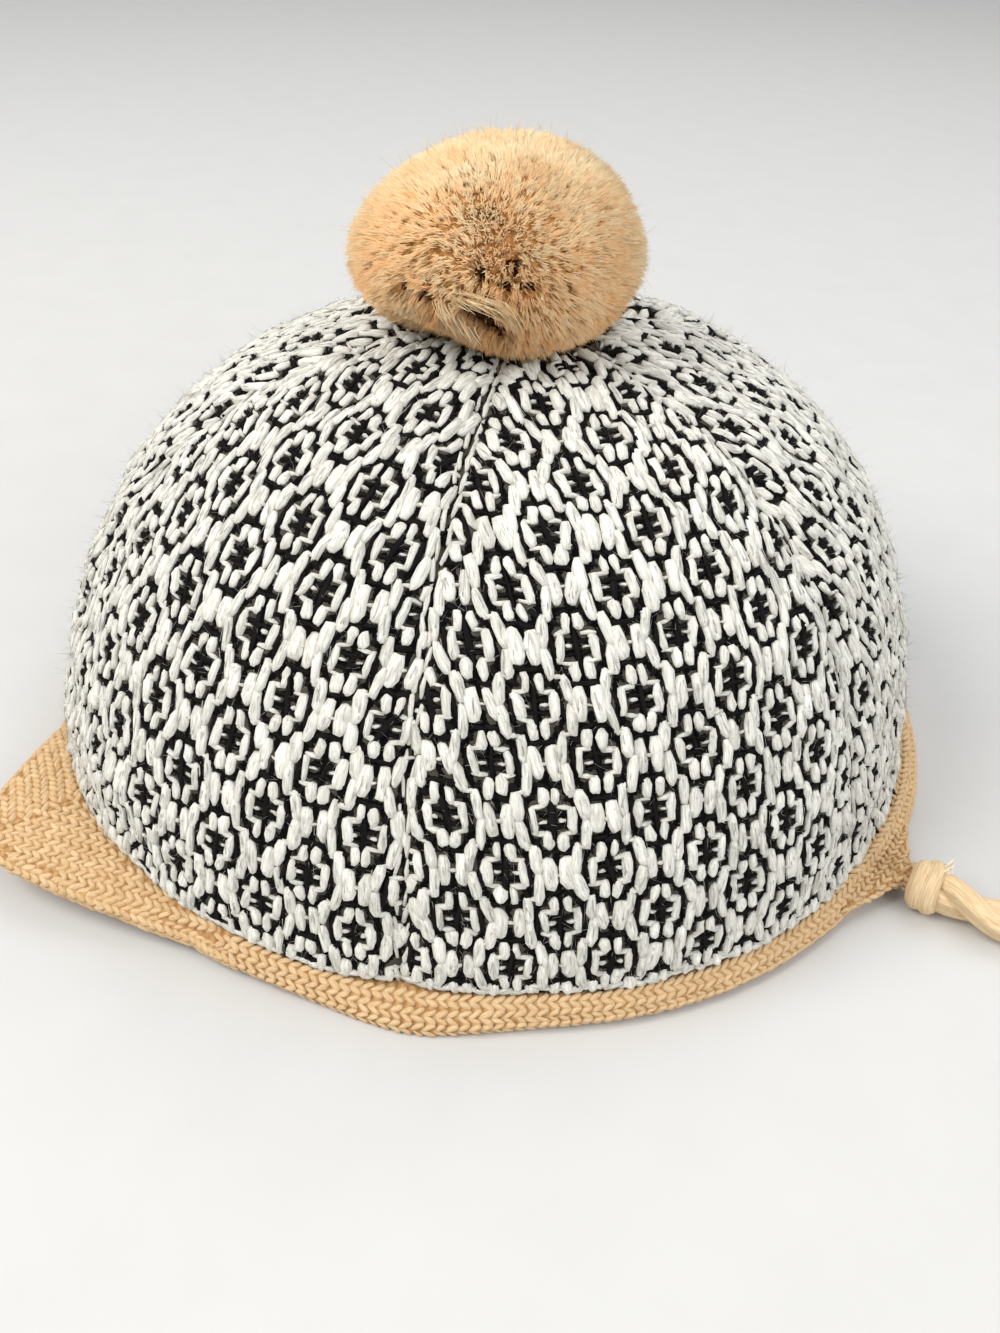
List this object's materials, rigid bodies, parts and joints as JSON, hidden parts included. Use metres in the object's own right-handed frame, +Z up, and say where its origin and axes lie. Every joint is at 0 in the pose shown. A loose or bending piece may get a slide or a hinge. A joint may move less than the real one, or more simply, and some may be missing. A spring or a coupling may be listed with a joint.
{
  "type": "earflap hat",
  "caption": "Knitted peaked winter hat with a gored jacquard crown, camel edge band, small ear tabs with twisted ties and a pompom",
  "frame": {"origin": "bottom centre of the hat without its ties, on the surface it lies on", "axes": "+Z up through the pompom, -Y towards the peak, +X towards the wearer's left"},
  "size_m": [0.2624, 0.2287, 0.1113],
  "materials": {
    "jacquard_wool": "soft two-colour wool knit, cream motifs on black",
    "camel_wool": "soft camel wool knit",
    "cord_wool": "smooth twisted pale camel wool",
    "pompom_wool": "trimmed fluffy wool pile"
  },
  "bodies": {
    "root": {"crown_panel_1": "jacquard_wool", "crown_panel_2": "jacquard_wool", "crown_panel_3": "jacquard_wool", "crown_panel_4": "jacquard_wool", "crown_panel_5": "jacquard_wool", "crown_panel_6": "jacquard_wool", "edge_band": "camel_wool", "visor": "camel_wool", "ear_tab_left": "camel_wool", "ear_tab_right": "camel_wool", "tie_hitch_left": "cord_wool", "tie_hitch_right": "cord_wool", "tie_cord_left": "cord_wool", "tie_cord_right": "cord_wool", "tie_end_left": "cord_wool", "tie_end_right": "cord_wool", "pompom": "pompom_wool"}
  },
  "joints": []
}
